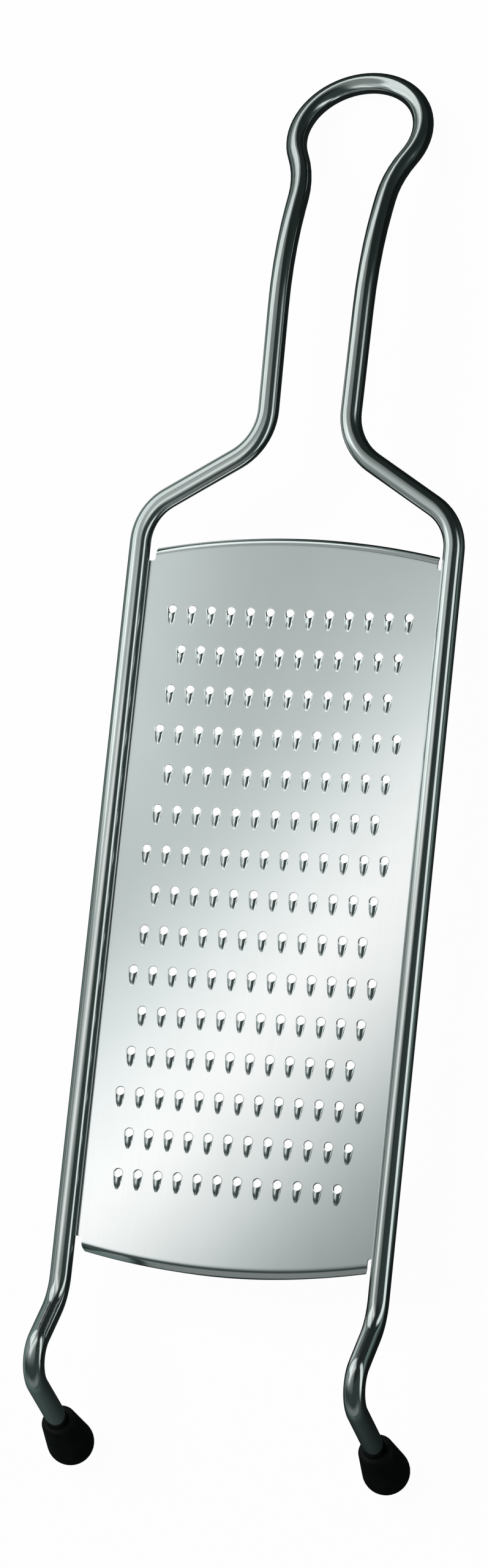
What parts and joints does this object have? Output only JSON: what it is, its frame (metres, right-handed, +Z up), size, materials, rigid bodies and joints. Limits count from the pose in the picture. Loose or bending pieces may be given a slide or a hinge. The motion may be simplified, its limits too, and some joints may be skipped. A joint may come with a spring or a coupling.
{
  "type": "fine grater",
  "caption": "Long flat fine grater: a pressed steel plate with rows of small raised teeth in a bent wire frame with legs, a handle and a hanging loop, on rubber feet.",
  "frame": {"origin": "on the table, under the middle of the grater's length and width, as it lies level on its two feet and the end of its loop", "axes": "+X across the plate to the right, +Y along the grater towards the handle, +Z up, out of the grating face"},
  "size_m": [0.1072, 0.4058, 0.0433],
  "materials": {
    "wire": "polished round wire",
    "plate": "satin pressed sheet",
    "foot": "matt black"
  },
  "bodies": {
    "root": {"wire_frame": "wire", "grating_plate": "plate", "foot_left": "foot", "foot_right": "foot"}
  },
  "joints": []
}
